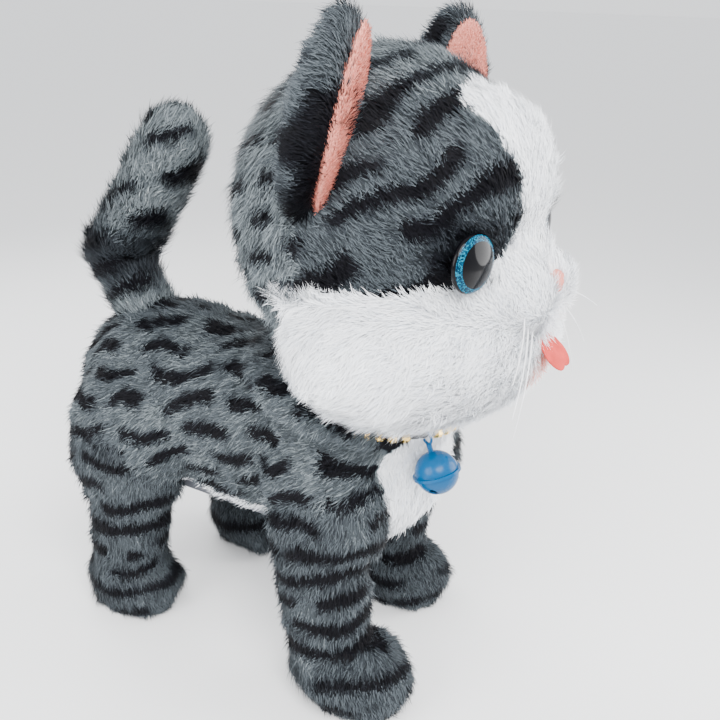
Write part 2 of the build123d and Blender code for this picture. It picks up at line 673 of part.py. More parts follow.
def make_bell():
    centre_z = -bell_drop
    shell = Sphere(bell_radius) - Sphere(bell_radius - bell_wall)
    upper = shell & Pos(0, 0, 15) * Box(40, 40, 30)
    lower = shell & Pos(0, 0, -15) * Box(40, 40, 30)
    hoop = Cylinder(bell_radius + 1, 0.6) - Cylinder(bell_radius - bell_wall, 1)
    upper += Pos(0, 0, 0.3) * hoop
    lower += Pos(0, 0, -0.3) * hoop
    lower -= Pos(0, 0, -bell_radius) * Box(15, 1.6, 10)
    for x in (-6, 6):
        lower -= Pos(x, 0, -bell_radius) * Cylinder(1.8, 10)
    loop = Torus(bell_loop_radius, bell_wire_radius)
    loop_z = -(bell_loop_radius - bell_wire_radius - collar_cord_radius - 0.35)
    loop = Pos(0, 0, loop_z) * Rot(0, 0, bell_angle()) * Rot(0, 90, 0) * loop   # square to the cord
    stem_top = loop_z - bell_loop_radius
    stem_bottom = centre_z + bell_radius - 0.4
    loop += Pos(0, 0, (stem_top + stem_bottom) / 2) * Cylinder(1.1, stem_top - stem_bottom)
    frame = bell_frame()
    parts["bell_loop"] = frame * loop
    parts["bell_upper"] = frame * Pos(0, 0, centre_z) * upper - parts["bell_loop"]
    parts["bell_lower"] = frame * Pos(0, 0, centre_z) * lower
    parts["clapper"] = frame * Pos(0, 0, centre_z - bell_radius + bell_wall + 3.4) * Sphere(clapper_radius)


# ---------------------------------------------------------------- assembly
make_head()
make_torso()
make_tail()
for leg in hip_places():
    make_leg(*leg)
make_gears()
for side_name, side_sign in sides.items():
    make_yoke(side_name, side_sign)
make_chassis()
make_electrics()
make_collar()
make_bell()

os.makedirs("parts", exist_ok=True)
for node, shape in parts.items():
    export_step(Pos(0, centre_shift, 0) * shape, f"parts/{node}.step")
print(len(parts), "nodes")
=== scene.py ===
import json
import math

import bmesh
import bpy
import numpy as np
from mathutils import Euler, Matrix, Vector, noise


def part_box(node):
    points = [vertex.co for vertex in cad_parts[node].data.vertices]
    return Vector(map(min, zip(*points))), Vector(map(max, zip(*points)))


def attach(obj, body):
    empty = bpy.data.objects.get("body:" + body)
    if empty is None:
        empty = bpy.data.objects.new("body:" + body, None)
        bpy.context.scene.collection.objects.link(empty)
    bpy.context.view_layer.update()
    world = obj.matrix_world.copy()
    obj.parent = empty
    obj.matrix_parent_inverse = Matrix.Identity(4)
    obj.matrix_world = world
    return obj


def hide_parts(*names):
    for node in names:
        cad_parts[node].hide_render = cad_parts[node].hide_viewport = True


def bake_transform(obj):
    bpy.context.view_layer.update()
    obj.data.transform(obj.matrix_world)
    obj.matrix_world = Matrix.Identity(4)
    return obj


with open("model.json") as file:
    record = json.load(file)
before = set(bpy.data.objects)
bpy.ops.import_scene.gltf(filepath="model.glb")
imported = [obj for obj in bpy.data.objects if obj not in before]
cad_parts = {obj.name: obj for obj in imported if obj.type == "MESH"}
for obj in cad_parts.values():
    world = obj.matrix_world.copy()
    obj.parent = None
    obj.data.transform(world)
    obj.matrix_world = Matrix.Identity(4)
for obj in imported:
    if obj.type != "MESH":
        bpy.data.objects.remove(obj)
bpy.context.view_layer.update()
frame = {"nodes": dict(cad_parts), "record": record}
print("frame loaded")

mm = 0.001
legNames = ["front_right", "front_left", "rear_right", "rear_left"]
sideSign = {"right": -1, "left": 1}

# the kitten's own middle line: the frame is centred on its box, the shapes below are given about the hips
axleLow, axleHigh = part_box("hip_axles")
frameShift = Vector((0, (axleLow[1] + axleHigh[1]) / 2 - 7.5 * mm, 0))


def place(point):
    return Vector(point) * mm + frameShift


def deg(angle):
    return math.radians(angle)


def clamp(value, low=0.0, high=1.0):
    return max(low, min(high, value))


def step(low, high, value):
    t = clamp((value - low) / (high - low))
    return t * t * (3 - 2 * t)


def mix(a, b, t):
    return a + (b - a) * t


# camera, light and floor
view = {"azimuth": -60.9, "pitch": 22.5, "roll": 2.1, "lens": 43.75, "eye": (-300, -204, 282)}


def makeCamera():
    a, e, r = deg(view["azimuth"]), deg(view["pitch"]), deg(view["roll"])
    right = Vector((math.cos(a), math.sin(a), 0))
    back = Vector((math.sin(a) * math.cos(e), -math.cos(a) * math.cos(e), math.sin(e)))
    up = back.cross(right)
    tiltedRight = right * math.cos(r) + up * math.sin(r)
    tiltedUp = up * math.cos(r) - right * math.sin(r)
    data = bpy.data.cameras.new("camera")
    data.lens = view["lens"]
    data.sensor_width = 36
    data.clip_start = 0.01
    camera = bpy.data.objects.new("camera", data)
    bpy.context.collection.objects.link(camera)
    camera.matrix_world = Matrix((tiltedRight, tiltedUp, back)).transposed().to_4x4()
    camera.location = place(view["eye"])
    bpy.context.scene.camera = camera


studio = {"world": 1.5, "floorRadius": 40, "floorTone": 0.93, "aimHeight": 130}
lights = {
    "key": {"place": (-330, -330, 560), "size": 420, "power": 6.6},
    "side": {"place": (-520, 150, 330), "size": 420, "power": 3.4},
    "front": {"place": (330, -480, 260), "size": 460, "power": 4.0},
    "rear": {"place": (200, 480, 460), "size": 420, "power": 2.2},
}


def makeStage():
    for name, facts in lights.items():
        data = bpy.data.lights.new(name, "AREA")
        data.shape = "DISK"
        data.size = facts["size"] * mm
        data.energy = facts["power"]
        lamp = bpy.data.objects.new(name, data)
        bpy.context.collection.objects.link(lamp)
        lamp.location = place(facts["place"])
        aim = place((0, 0, studio["aimHeight"])) - lamp.location
        lamp.rotation_euler = aim.to_track_quat("-Z", "Y").to_euler()
    world = bpy.data.worlds.new("studio")
    bpy.context.scene.world = world
    world.use_nodes = True
    world.node_tree.nodes["Background"].inputs["Color"].default_value = (0.95, 0.97, 1.0, 1)
    world.node_tree.nodes["Background"].inputs["Strength"].default_value = studio["world"]
    bm = bmesh.new()
    bmesh.ops.create_circle(bm, cap_ends=True, segments=64, radius=studio["floorRadius"])
    floor = meshObject("floor", bm)
    material = bpy.data.materials.new("paleFloor")
    material.use_nodes = True
    surface = material.node_tree.nodes["Principled BSDF"]
    surface.inputs["Base Color"].default_value = (*[studio["floorTone"]] * 3, 1)
    surface.inputs["Roughness"].default_value = 0.7
    floor.data.materials.append(material)


def meshObject(name, bm, smooth=True):
    mesh = bpy.data.meshes.new(name)
    bm.to_mesh(mesh)
    bm.free()
    if smooth:
        mesh.shade_smooth()
    piece = bpy.data.objects.new(name, mesh)
    bpy.context.collection.objects.link(piece)
    return piece


def applyModifiers(piece):
    bpy.context.view_layer.update()
    evaluated = piece.evaluated_get(bpy.context.evaluated_depsgraph_get())
    mesh = bpy.data.meshes.new_from_object(evaluated)
    piece.modifiers.clear()
    piece.data = mesh


def addLump(bm, centre, radii, turn=(0, 0, 0), detail=4):
    size = radii if isinstance(radii, (tuple, list)) else (radii, radii, radii)
    matrix = Matrix.Translation(place(centre))
    matrix = matrix @ Euler([deg(t) for t in turn]).to_matrix().to_4x4()
    matrix = matrix @ Matrix.Diagonal((size[0] * mm, size[1] * mm, size[2] * mm, 1))
    bmesh.ops.create_icosphere(bm, subdivisions=detail, radius=1, matrix=matrix)


def addLimb(bm, points, beads=7, flat=1.0):
    for (start, startRadius), (end, endRadius) in zip(points, points[1:]):
        for i in range(beads + 1):
            t = i / beads
            centre = Vector(start).lerp(Vector(end), t)
            radius = mix(startRadius, endRadius, t)
            addLump(bm, centre, (radius * flat, radius, radius), detail=3)


def softForm(name, bm, voxel=2.0, rounds=6, floorCut=False):
    piece = meshObject(name, bm)
    remesh = piece.modifiers.new("fuse", "REMESH")
    remesh.mode = "VOXEL"
    remesh.voxel_size = voxel * mm
    applyModifiers(piece)
    bm = bmesh.new()
    bm.from_mesh(piece.data)
    for i in range(rounds):
        bmesh.ops.smooth_vert(bm, verts=bm.verts, factor=0.5,
                              use_axis_x=True, use_axis_y=True, use_axis_z=True)
    if floorCut:
        trim(bm, (0, 0, 0.6), (0, 0, -1))
    bmesh.ops.recalc_face_normals(bm, faces=bm.faces)
    bm.to_mesh(piece.data)
    bm.free()
    piece.data.shade_smooth()
    return piece


def trim(bm, point, normal):
    everything = bm.verts[:] + bm.edges[:] + bm.faces[:]
    cut = bmesh.ops.bisect_plane(bm, geom=everything, plane_co=place(point), plane_no=normal,
                                 clear_outer=True)
    rim = [e for e in cut["geom_cut"] if isinstance(e, bmesh.types.BMEdge)]
    bmesh.ops.edgeloop_fill(bm, edges=rim)


# soft bodies, without their pile
head = {
    "skull": ((0, -46, 206), (57, 59, 61)),
    "cheeks": ((0, -66, 163), (68, 50, 34.5)),
    "muzzleLobe": ((10, -104, 185), (16, 16, 14.5)),
    "muzzleBridge": ((0, -98, 196), (15, 15, 17)),
    "brow": ((0, -83, 221), (38, 27, 33)),
    "chin": ((0, -90, 156), (24, 23, 18)),
    "seam": {"point": (0, -42, 185), "normal": (0, 0.09, 0.996)},
    "neckCut": {"point": (0, -40, 131), "normal": (0, 0, -1)},
}
torso = {
    "chest": ((0, -42, 99), (38, 36, 39)),
    "neck": ((0, -39, 124), (43, 42, 30)), "ruff": ((0, -36.5, 132.5), (49.5, 47.5, 14), (11, 0, 0)),
    "barrel": [((0, -36, 104), 37), ((0, 10, 104), 39), ((0, 60, 104), 40)],
    "belly": ((0, 8, 86), (35, 66, 26)),
    "rump": ((0, 57, 103), (39, 58, 43)),
    "legPads": [((33, -41, 96), (20, 27, 25)), ((33, 64, 93), (20, 33, 31))],
    "doorOpening": {"x": 17.5, "y": (-19, 39), "below": 66},
}
tail = {"path": [((0, 80, 136), 12.5), ((0, 99, 164), 13.5), ((0, 82, 188), 14.5), ((0, 61, 220), 14)]}
leg = {
    "shoulder": {"lead": 0, "height": 86, "x": 36, "radii": (19, 23, 25)},
    "haunch": {"lead": 6, "height": 80, "x": 34, "radii": (20, 30, 35)},
    "column": [(0.02, 82, 20.5), (0.45, 52, 20), (0.85, 22, 18)], "flat": 0.84,
    "back": {"front": 6, "rear": 0}, "apart": {"front": 38.5, "rear": 36.5},
    "sole": {"x": 38, "lead": 4, "height": 5, "radii": (16, 22.5, 8.5)},
    "paw": {"lead": 3, "height": 15, "front": (20, 28, 17), "rear": (18, 23.5, 16)},
    "toes": {"spread": 9, "ahead": 16, "height": 9.5, "radius": 8.5},
    "hip": {"front": -47, "rear": 62, "height": 85, "stride": 6},
}
ear = {"centre": (50, -47, 246), "radii": (17, 9.5, 34), "lining": (13.5, 4, 31),
       "forward": 8, "lean": 13, "turn": 20}


def makeHeadForm(name):
    bm = bmesh.new()
    addLump(bm, *head["skull"])
    addLump(bm, *head["cheeks"])
    addLump(bm, *head["chin"])
    addLump(bm, *head["muzzleBridge"])
    addLump(bm, *head["brow"])
    for side in sideSign.values():
        (x, y, z), radii = head["muzzleLobe"]
        addLump(bm, (side * x, y, z), radii)
    return softForm(name, bm, voxel=1.8, rounds=5)


def splitHead(name, keepAbove):
    piece = makeHeadForm(name)
    bm = bmesh.new()
    bm.from_mesh(piece.data)
    point, normal = head["seam"]["point"], Vector(head["seam"]["normal"])
    trim(bm, point, -normal if keepAbove else normal)
    if not keepAbove:
        trim(bm, head["neckCut"]["point"], head["neckCut"]["normal"])
    bm.to_mesh(piece.data)
    bm.free()
    piece.data.shade_smooth()
    return piece


def makeTorsoForm():
    bm = bmesh.new()
    addLump(bm, *torso["chest"])
    addLump(bm, *torso["neck"])
    addLump(bm, *torso["ruff"])
    addLump(bm, *torso["belly"])
    addLump(bm, *torso["rump"])
    addLimb(bm, torso["barrel"])
    for side in sideSign.values():
        for (x, y, z), radii in torso["legPads"]:
            addLump(bm, (side * x, y, z), radii)
    piece = softForm("torsoPlush", bm, voxel=2.0, rounds=14)
    opening = torso["doorOpening"]
    yLow, yHigh = (place((0, y, 0)).y for y in opening["y"])
    bm = bmesh.new()
    bm.from_mesh(piece.data)
    gone = []
    for face in bm.faces:
        c = face.calc_center_median()
        if abs(c.x) < opening["x"] * mm and yLow < c.y < yHigh and c.z < opening["below"] * mm:
            gone.append(face)
    bmesh.ops.delete(bm, geom=gone, context="FACES")
    rim = [e for e in bm.edges if e.is_boundary]
    hem = bmesh.ops.extrude_edge_only(bm, edges=rim)
    rise = [v for v in hem["geom"] if isinstance(v, bmesh.types.BMVert)]
    bmesh.ops.translate(bm, verts=rise, vec=(0, 0, 4 * mm))
    bmesh.ops.recalc_face_normals(bm, faces=bm.faces)
    bm.to_mesh(piece.data)
    bm.free()
    piece.data.shade_smooth()
    return piece


def makeTailForm():
    bm = bmesh.new()
    addLimb(bm, tail["path"])
    return softForm("tailPlush", bm, voxel=1.5, rounds=8)


def legFacts(name):
    end, sideName = name.split("_")
    side = sideSign[sideName]
    hip = leg["hip"]
    forward = name in ("front_right", "rear_left")
    stance = deg(-hip["stride"] if forward else hip["stride"])
    return end, side, hip[end], hip[end] + math.tan(stance) * hip["height"]


def makeLegForm(name):
    end, side, hipY, ankleY = legFacts(name)
    bm = bmesh.new()
    top = leg["shoulder"] if end == "front" else leg["haunch"]
    addLump(bm, (side * top["x"], hipY + top["lead"], top["height"]), top["radii"])
    back = leg["back"][end]
    x = side * leg["apart"][end]
    column = [((x, mix(hipY + back, ankleY + back, t), height), r) for t, height, r in leg["column"]]
    addLimb(bm, column, flat=leg["flat"])
    paw = leg["paw"]
    pawY = ankleY - paw["lead"]
    addLump(bm, (x, pawY, paw["height"]), paw[end])
    sole = leg["sole"]      # wraps the plastic foot plate
    addLump(bm, (side * sole["x"], ankleY - sole["lead"], sole["height"]), sole["radii"])
    toes = leg["toes"]
    for spread in (-1, 0, 1):
        reach = toes["ahead"] - (2.5 if spread else 0)
        addLump(bm, (x + spread * toes["spread"], pawY - reach, toes["height"]), toes["radius"])
    return softForm("legPlush_" + name, bm, voxel=1.6, rounds=8, floorCut=True)


def earMatrix(side):
    x, y, z = ear["centre"]
    matrix = Matrix.Translation(place((side * x, y, z)))
    matrix = matrix @ Euler((deg(ear["forward"]), 0, 0)).to_matrix().to_4x4()
    matrix = matrix @ Euler((0, deg(-side * ear["lean"]), 0)).to_matrix().to_4x4()
    return matrix @ Euler((0, 0, deg(-side * ear["turn"]))).to_matrix().to_4x4()


def makeEarForms(sideName):
    side = sideSign[sideName]
    matrix = earMatrix(side)
    backSize = Matrix.Diagonal([r * mm for r in ear["radii"]] + [1])
    bm = bmesh.new()
    bmesh.ops.create_icosphere(bm, subdivisions=5, radius=1, matrix=matrix @ backSize)
    back = meshObject("earBack_" + sideName, bm)
    bm = bmesh.new()
    liningSize = Matrix.Diagonal([r * mm for r in ear["lining"]] + [1])
    forward = Matrix.Translation((0, -ear["radii"][1] * 0.72 * mm, 0))
    bmesh.ops.create_icosphere(bm, subdivisions=5, radius=1, matrix=matrix @ forward @ liningSize)
    lining = meshObject("earLining_" + sideName, bm)
    return back, lining


# the coat gives each place a tone, a length of pile and the way it lies
# tones run from 0 black over grey to 5 silver, 6 and 7 are the whites, 8 is the blush
coat = {
    "bodyTone": 3.3, "faceTone": 2.75, "crownTone": 3.9, "sideTone": 3.7, "legTone": 2.75, "tailTone": 4.0,
    "earTone": 2.9, "bodyPile": 7.0, "facePile": 6.5, "sidePile": 8.5, "whitePile": 7.0, "legPile": 6.0,
    "tailPile": 9.0, "earPile": 6.0, "liningPile": 1.8, "girthHeight": 88, "girthRadius": 44, "blush": 0.55,
    "blushHeight": 156, "blushSize": (13, 6),
}


def wave(point, size, seed):
    return noise.noise(Vector((point[0] / size + seed, point[1] / size - seed, point[2] / size + 2 * seed)))


def dashes(across, along, rowPitch, dashPitch, point, seed, width=0.62, gap=0.0, wander=0.35):
    row = across / rowPitch + wander * wave(point, 24, seed)
    band = 0.5 + 0.5 * math.cos(2 * math.pi * row)
    stagger = 0.37 * round(row) + 0.3 * wave(point, 30, seed + 7)
    beat = math.cos(2 * math.pi * (along / dashPitch + stagger)) + 0.9 * wave(point, 11, seed + 3)
    return step(width, width + 0.22, band) * step(gap - 0.2, gap + 0.2, beat)


def torsoCoat(p, n):
    bib = p.y < -46 and abs(p.x) < 33 - 4 * step(100, 125, p.z) + 2 * wave(p, 9, 6) and n.y < -0.2
    underneath = n.z < -0.4 and abs(p.x) < 34 and p.z < 74 and p.y < 74
    nap = Vector((0.15 * n.x, 0.75, -0.62))
    if bib or underneath:
        return 6.75, coat["whitePile"] * 0.8, Vector((0.5 * n.x, 0.2, -1)) if bib else Vector((0, 1, 0))
    around = math.atan2(abs(p.x), p.z - coat["girthHeight"]) * coat["girthRadius"]     # down from the back line
    ripple = 1.8 * math.sin(p.y / 5.2 + p.x / 15)
    dark = dashes(around - 0.22 * p.y + ripple, p.y, 11.5, 30, p, 3.1, width=0.56, gap=-0.45, wander=0.4)
    saddle = step(140, 150, p.z) * 0.3
    return coat["bodyTone"] + 0.5 * wave(p, 17, 5) - 4.2 * dark - saddle, coat["bodyPile"], nap


def legCoat(p, n):
    ripple = 1.2 * math.sin((p.x + p.y) / 5)
    dark = dashes(p.z + 0.15 * p.y + ripple, p.x + p.y, 11.5, 52, p, 8.4, width=0.48, gap=-0.6, wander=0.42)
    onPaw = step(30, 20, p.z)
    nap = Vector((0.1 * n.x, mix(0.15, -0.5, onPaw), -1))
    return coat["legTone"] + 0.6 * wave(p, 14, 2) - 3.6 * dark * (1 - 0.35 * onPaw), coat["legPile"], nap


def tailCoat(p, n):
    dark = dashes(p.z + 0.55 * p.y + 0.3 * p.x, p.x - p.y, 14, 40, p, 1.7, width=0.6, gap=-0.4)
    bend = step(22, 8, abs(p.z - 168))
    away = Vector((0, 0.55, 0.84)) if p.z < 166 else Vector((0, -0.5, 0.86))
    return coat["tailTone"] - 3.8 * dark - 2.1 * bend, coat["tailPile"] + 2 * bend, away


def headCoat(p, n):
    blazeHalf = mix(17, 21.5, step(214, 246, p.z)) + 1.5 * wave(p, 9, 4)
    muzzle = p.y < -92 and p.z < 200 and abs(p.x) < 25
    if muzzle or (p.y < -60 and abs(p.x) < blazeHalf and p.z < 257 - 0.02 * p.x * p.x):
        return 6.9, coat["whitePile"] * 0.8, Vector((0.4 * p.x / 20, 0.3, 1))
    seamY = -44 + 0.10 * (p.z - 200)
    sidePanel = step(seamY - 3, seamY + 3, p.y) * step(262, 246, p.z)
    upward = Vector((p.x * 0.012, 0.55, 0.75))
    nap = upward.lerp(Vector((0, 0.35, -0.9)), sidePanel)
    slant = (p.z - 200) * 0.84 + (p.y + 60) * 0.54
    faceDark = dashes(slant, p.z * 0.54 - p.y * 0.84, 14, 50, p, 5.3, width=0.5, gap=-0.6, wander=0.55)
    sideDark = dashes(p.z + 0.5 * p.y, p.y - 0.4 * p.z, 14, 26, p, 9.1, width=0.6, gap=-0.25)
    crown = step(246, 262, p.z)
    faceTone = mix(coat["faceTone"], coat["crownTone"], crown) - mix(4.2, 2.4, crown) * faceDark
    nearEye = (Vector((abs(p.x), p.y, p.z)) - Vector(face["eye"]["centre"])).length
    faceTone -= 1.6 * step(22, 12, nearEye) * (1 if p.z < 214 else 0.5)
    sideTone = coat["sideTone"] - 3.6 * sideDark
    return mix(faceTone, sideTone, sidePanel), mix(coat["facePile"], coat["sidePile"], sidePanel), nap


def cheekCoat(p, n):
    front = step(-84, -100, p.y)
    nap = Vector((p.x * 0.02, 0.55, -0.75)).lerp(Vector((p.x * 0.07, 0.2, -0.5)), front)
    fromMouth = math.hypot(p.x * 0.75, p.z - coat["blushHeight"])
    blush = coat["blush"] * step(*coat["blushSize"], fromMouth) * step(-92, -100, p.y)
    nap = nap.lerp(Vector((0.02 * p.x, 0.2, 0.9)), step(176, 184, p.z))
    if p.y > -30 and p.z > 150 and n.y > 0.3:
        sideDark = dashes(p.z + 0.5 * p.y, p.y - 0.4 * p.z, 14, 26, p, 9.1, width=0.6, gap=-0.25)
        return coat["sideTone"] - 3.6 * sideDark, coat["sidePile"], Vector((0, 0.35, -0.9))
    return 6.8 + 1.3 * blush, coat["whitePile"] * mix(1.0, 0.75, front), nap


def earCoat(p, n):
    patch = step(-0.1, 0.25, wave(p, 14, 12.5)) + step(232, 216, p.z) * 0.7
    return coat["earTone"] - 3.0 * min(patch, 1), coat["earPile"], Vector((0.5 * n.x, 0.9, 0.35))


def combForm(piece, coatRule, coverRule=None):
    mesh = piece.data
    rootTones, tipTones, piles, naps, covers = [], [], [], [], []
    for vertex in mesh.vertices:
        p = (vertex.co - frameShift) / mm
        normal = vertex.normal.copy()
        tone, pile, nap = coatRule(p, normal)
        lie = (nap - normal * nap.dot(normal)).normalized()
        rootTones.append(coatRule(p + lie * pile * 0.25, normal)[0])
        tipTones.append(coatRule(p + lie * pile * 0.75, normal)[0])
        piles.append(pile * mm)
        naps.extend(lie)
        covers.append(coverRule(p) if coverRule else 1.0)
    given = (("tone", rootTones), ("tipTone", tipTones), ("pile", piles), ("cover", covers), ("nap", naps))
    for label, values in given:
        layer = mesh.attributes.new(label, "FLOAT_VECTOR" if label == "nap" else "FLOAT", "POINT")
        layer.data.foreach_set("vector" if label == "nap" else "value", values)


# materials of the cloth and the pile
tones = [
    (0.002, 0.002, 0.004), (0.006, 0.007, 0.010), (0.026, 0.031, 0.037), (0.070, 0.083, 0.093),
    (0.155, 0.180, 0.192), (0.33, 0.37, 0.38), (0.87, 0.90, 0.95), (0.95, 0.965, 0.985), (0.80, 0.30, 0.23),
]
# the root shares and the backing share are painted shade deep in the pile
pileLook = {"rootShadeGrey": 0.6, "rootShadeWhite": 0.95, "backing": 0.75,
            "roughness": 0.65, "gloss": 0.12}


def shader(name, colour, roughness, metallic=0.0, gloss=0.5):
    material = bpy.data.materials.new(name)
    material.use_nodes = True
    surface = material.node_tree.nodes["Principled BSDF"]
    surface.inputs["Base Color"].default_value = (*colour, 1)
    surface.inputs["Roughness"].default_value = roughness
    surface.inputs["Metallic"].default_value = metallic
    surface.inputs["Specular IOR Level"].default_value = gloss
    material.diffuse_color = (*colour, 1)
    return material


def makePileMaterials():
    made = []
    for i, tone in enumerate(tones):
        # each root material is a darker copy of its tip: painted shade deep in the pile
        shadeAtRoot = pileLook["rootShadeWhite"] if i >= 6 else pileLook["rootShadeGrey"]
        for end, share in (("Root", shadeAtRoot), ("Tip", 1.0)):
            colour = [share * c for c in tone]
            name = "pile%d%s" % (i, end)
            made.append(shader(name, colour, pileLook["roughness"], gloss=pileLook["gloss"]))
    return made


# the cloth under the pile takes the tone of the pile above it, darkened by the backing share: painted shade
# deep in the pile
def makeBackingMaterial():
    material = shader("plushBacking", (0.3, 0.3, 0.3), 0.9, gloss=0.1)
    tree = material.node_tree
    toneIn = tree.nodes.new("ShaderNodeAttribute")
    toneIn.attribute_name = "tone"
    spread = tree.nodes.new("ShaderNodeMapRange")
    spread.inputs["From Max"].default_value = 8
    ramp = tree.nodes.new("ShaderNodeValToRGB")
    for i, tone in enumerate(tones):
        stop = ramp.color_ramp.elements[0] if i == 0 else ramp.color_ramp.elements.new(i / 8)
        stop.color = (*[pileLook["backing"] * c for c in tone], 1)
    knit = tree.nodes.new("ShaderNodeTexNoise")
    knit.inputs["Scale"].default_value = 900
    bump = tree.nodes.new("ShaderNodeBump")
    bump.inputs["Strength"].default_value = 0.5
    bump.inputs["Distance"].default_value = 0.0004
    tree.links.new(toneIn.outputs["Fac"], spread.inputs["Value"])
    tree.links.new(spread.outputs["Result"], ramp.inputs["Fac"])
    tree.links.new(ramp.outputs["Color"], tree.nodes["Principled BSDF"].inputs["Base Color"])
    tree.links.new(knit.outputs["Fac"], bump.inputs["Height"])
    tree.links.new(bump.outputs["Normal"], tree.nodes["Principled BSDF"].inputs["Normal"])
    return material


# one strand of pile, set by the thousand over a form
def makeStrand():
    bm = bmesh.new()
    low = [bm.verts.new((x, 0, 0)) for x in (-0.5, 0.5)]
    middle = [bm.verts.new((x, -0.07, 0.55)) for x in (0.42, -0.42)]
    point = bm.verts.new((0, -0.3, 1))
    tip = bm.faces.layers.int.new("tip")
    bm.faces.new(low + middle)[tip] = 0
    bm.faces.new((middle[1], middle[0], point))[tip] = 1
    return meshObject("strand", bm, smooth=False)


class PileTree:
    # a small geometry node tree: points on the form, a lean along the nap, a strand on each
    def __init__(self, strand, materials):
        self.tree = bpy.data.node_groups.new("pile", "GeometryNodeTree")
        face = self.tree.interface
        face.new_socket("Geometry", in_out="INPUT", socket_type="NodeSocketGeometry")
        self.sockets = {}
        for label, kind in (("Density", "Float"), ("Seed", "Int"), ("Width", "Float"), ("Lift", "Float"),
                            ("Mess", "Float"), ("Clump", "Float"), ("Speckle", "Float"), ("Long", "Float")):
            made = face.new_socket(label, in_out="INPUT", socket_type="NodeSocket" + kind)
            self.sockets[label] = made.identifier
        face.new_socket("Geometry", in_out="OUTPUT", socket_type="NodeSocketGeometry")
        self.build(strand, materials)

    def node(self, kind, links=None, values=None, **facts):
        node = self.tree.nodes.new(kind)
        for key, value in facts.items():
            setattr(node, key, value)
        for key, value in (values or {}).items():
            node.inputs[key].default_value = value
        for key, value in (links or {}).items():
            self.tree.links.new(value, node.inputs[key])
        return node

    def named(self, name, kind="FLOAT"):
        read = self.node("GeometryNodeInputNamedAttribute", values={"Name": name}, data_type=kind)
        return read.outputs["Attribute"]

    def maths(self, operation, a, b):
        node = self.node("ShaderNodeMath", operation=operation)
        for socket, value in zip(node.inputs, (a, b)):
            if isinstance(value, (int, float)):
                socket.default_value = value
            else:
                self.tree.links.new(value, socket)
        return node.outputs["Value"]

    def vectors(self, operation, a, b=None, scale=None):
        node = self.node("ShaderNodeVectorMath", operation=operation)
        for socket, value in ((node.inputs[0], a), (node.inputs[1], b), (node.inputs[3], scale)):
            if value is None:
                continue
            if isinstance(value, (int, float, tuple)):
                socket.default_value = value
            else:
                self.tree.links.new(value, socket)
        return node.outputs["Vector"]

    def chance(self, low, high, seed, kind="FLOAT"):
        node = self.node("FunctionNodeRandomValue", data_type=kind)
        pick = [s for s in node.inputs if s.enabled and s.name in ("Min", "Max")]
        pick[0].default_value, pick[1].default_value = low, high
        [s for s in node.inputs if s.name == "Seed"][0].default_value = seed
        return [s for s in node.outputs if s.enabled][0]

    def build(self, strand, materials):
        n, entry = self.node, self.tree.nodes.new("NodeGroupInput")
        given = entry.outputs
        density = self.maths("MULTIPLY", given["Density"], self.named("cover"))
        spread = n("GeometryNodeDistributePointsOnFaces", {
            "Mesh": given["Geometry"], "Density": density, "Seed": given["Seed"]})
        # where a strand points
        lay = self.vectors("ADD", self.named("nap", "FLOAT_VECTOR"),
                           self.vectors("SCALE", spread.outputs["Normal"], scale=given["Lift"]))
        mess = self.chance((-1, -1, -1), (1, 1, 1), 3, "FLOAT_VECTOR")
        mess = self.vectors("SCALE", mess, scale=given["Mess"])
        clumpNoise = n("ShaderNodeTexNoise", values={"Scale": 130.0, "Detail": 1.0}, noise_dimensions="3D")
        clump = self.vectors("SUBTRACT", clumpNoise.outputs["Color"], (0.5, 0.5, 0.5))
        clump = self.vectors("SCALE", clump, scale=given["Clump"])
        direction = self.vectors("ADD", self.vectors("ADD", lay, mess), clump)
        direction = n("GeometryNodeStoreNamedAttribute", {
            "Geometry": spread.outputs["Points"], "Value": direction},
            {"Name": "direction"}, data_type="FLOAT_VECTOR", domain="POINT")
        normalKept = n("GeometryNodeStoreNamedAttribute", {
            "Geometry": direction.outputs["Geometry"], "Value": spread.outputs["Normal"]},
            {"Name": "surfaceNormal"}, data_type="FLOAT_VECTOR", domain="POINT")
        speckle = self.maths("MULTIPLY", self.chance(-1.0, 1.0, 5), given["Speckle"])
        last = normalKept.outputs["Geometry"]
        for source, label in (("tone", "level"), ("tipTone", "tipLevel")):
            level = self.maths("ADD", self.maths("ADD", self.named(source), speckle), 0.5)
            level = self.maths("FLOOR", level, 0)
            level = self.maths("MAXIMUM", self.maths("MINIMUM", level, 8), 0)
            last = n("GeometryNodeStoreNamedAttribute", {"Geometry": last, "Value": level}, {"Name": label},
                     data_type="FLOAT", domain="POINT").outputs["Geometry"]
        first = n("FunctionNodeAlignRotationToVector", {
            "Vector": self.named("direction", "FLOAT_VECTOR")}, axis="Z")
        second = n("FunctionNodeAlignRotationToVector", {
            "Rotation": first.outputs["Rotation"], "Vector": self.named("surfaceNormal", "FLOAT_VECTOR")},
            axis="Y", pivot_axis="Z")
        length = self.maths("MULTIPLY", self.maths("MULTIPLY", self.named("pile"), given["Long"]),
                            self.chance(0.7, 1.15, 7))
        width = self.maths("MULTIPLY", given["Width"], self.chance(0.7, 1.3, 9))
        size = n("ShaderNodeCombineXYZ", {"X": width, "Y": length, "Z": length})
        source = n("GeometryNodeObjectInfo", values={"Object": strand}, transform_space="ORIGINAL")
        grown = n("GeometryNodeInstanceOnPoints", {
            "Points": last, "Instance": source.outputs["Geometry"],
            "Rotation": second.outputs["Rotation"], "Scale": size.outputs["Vector"]})
        real = n("GeometryNodeRealizeInstances", {"Geometry": grown.outputs["Instances"]})
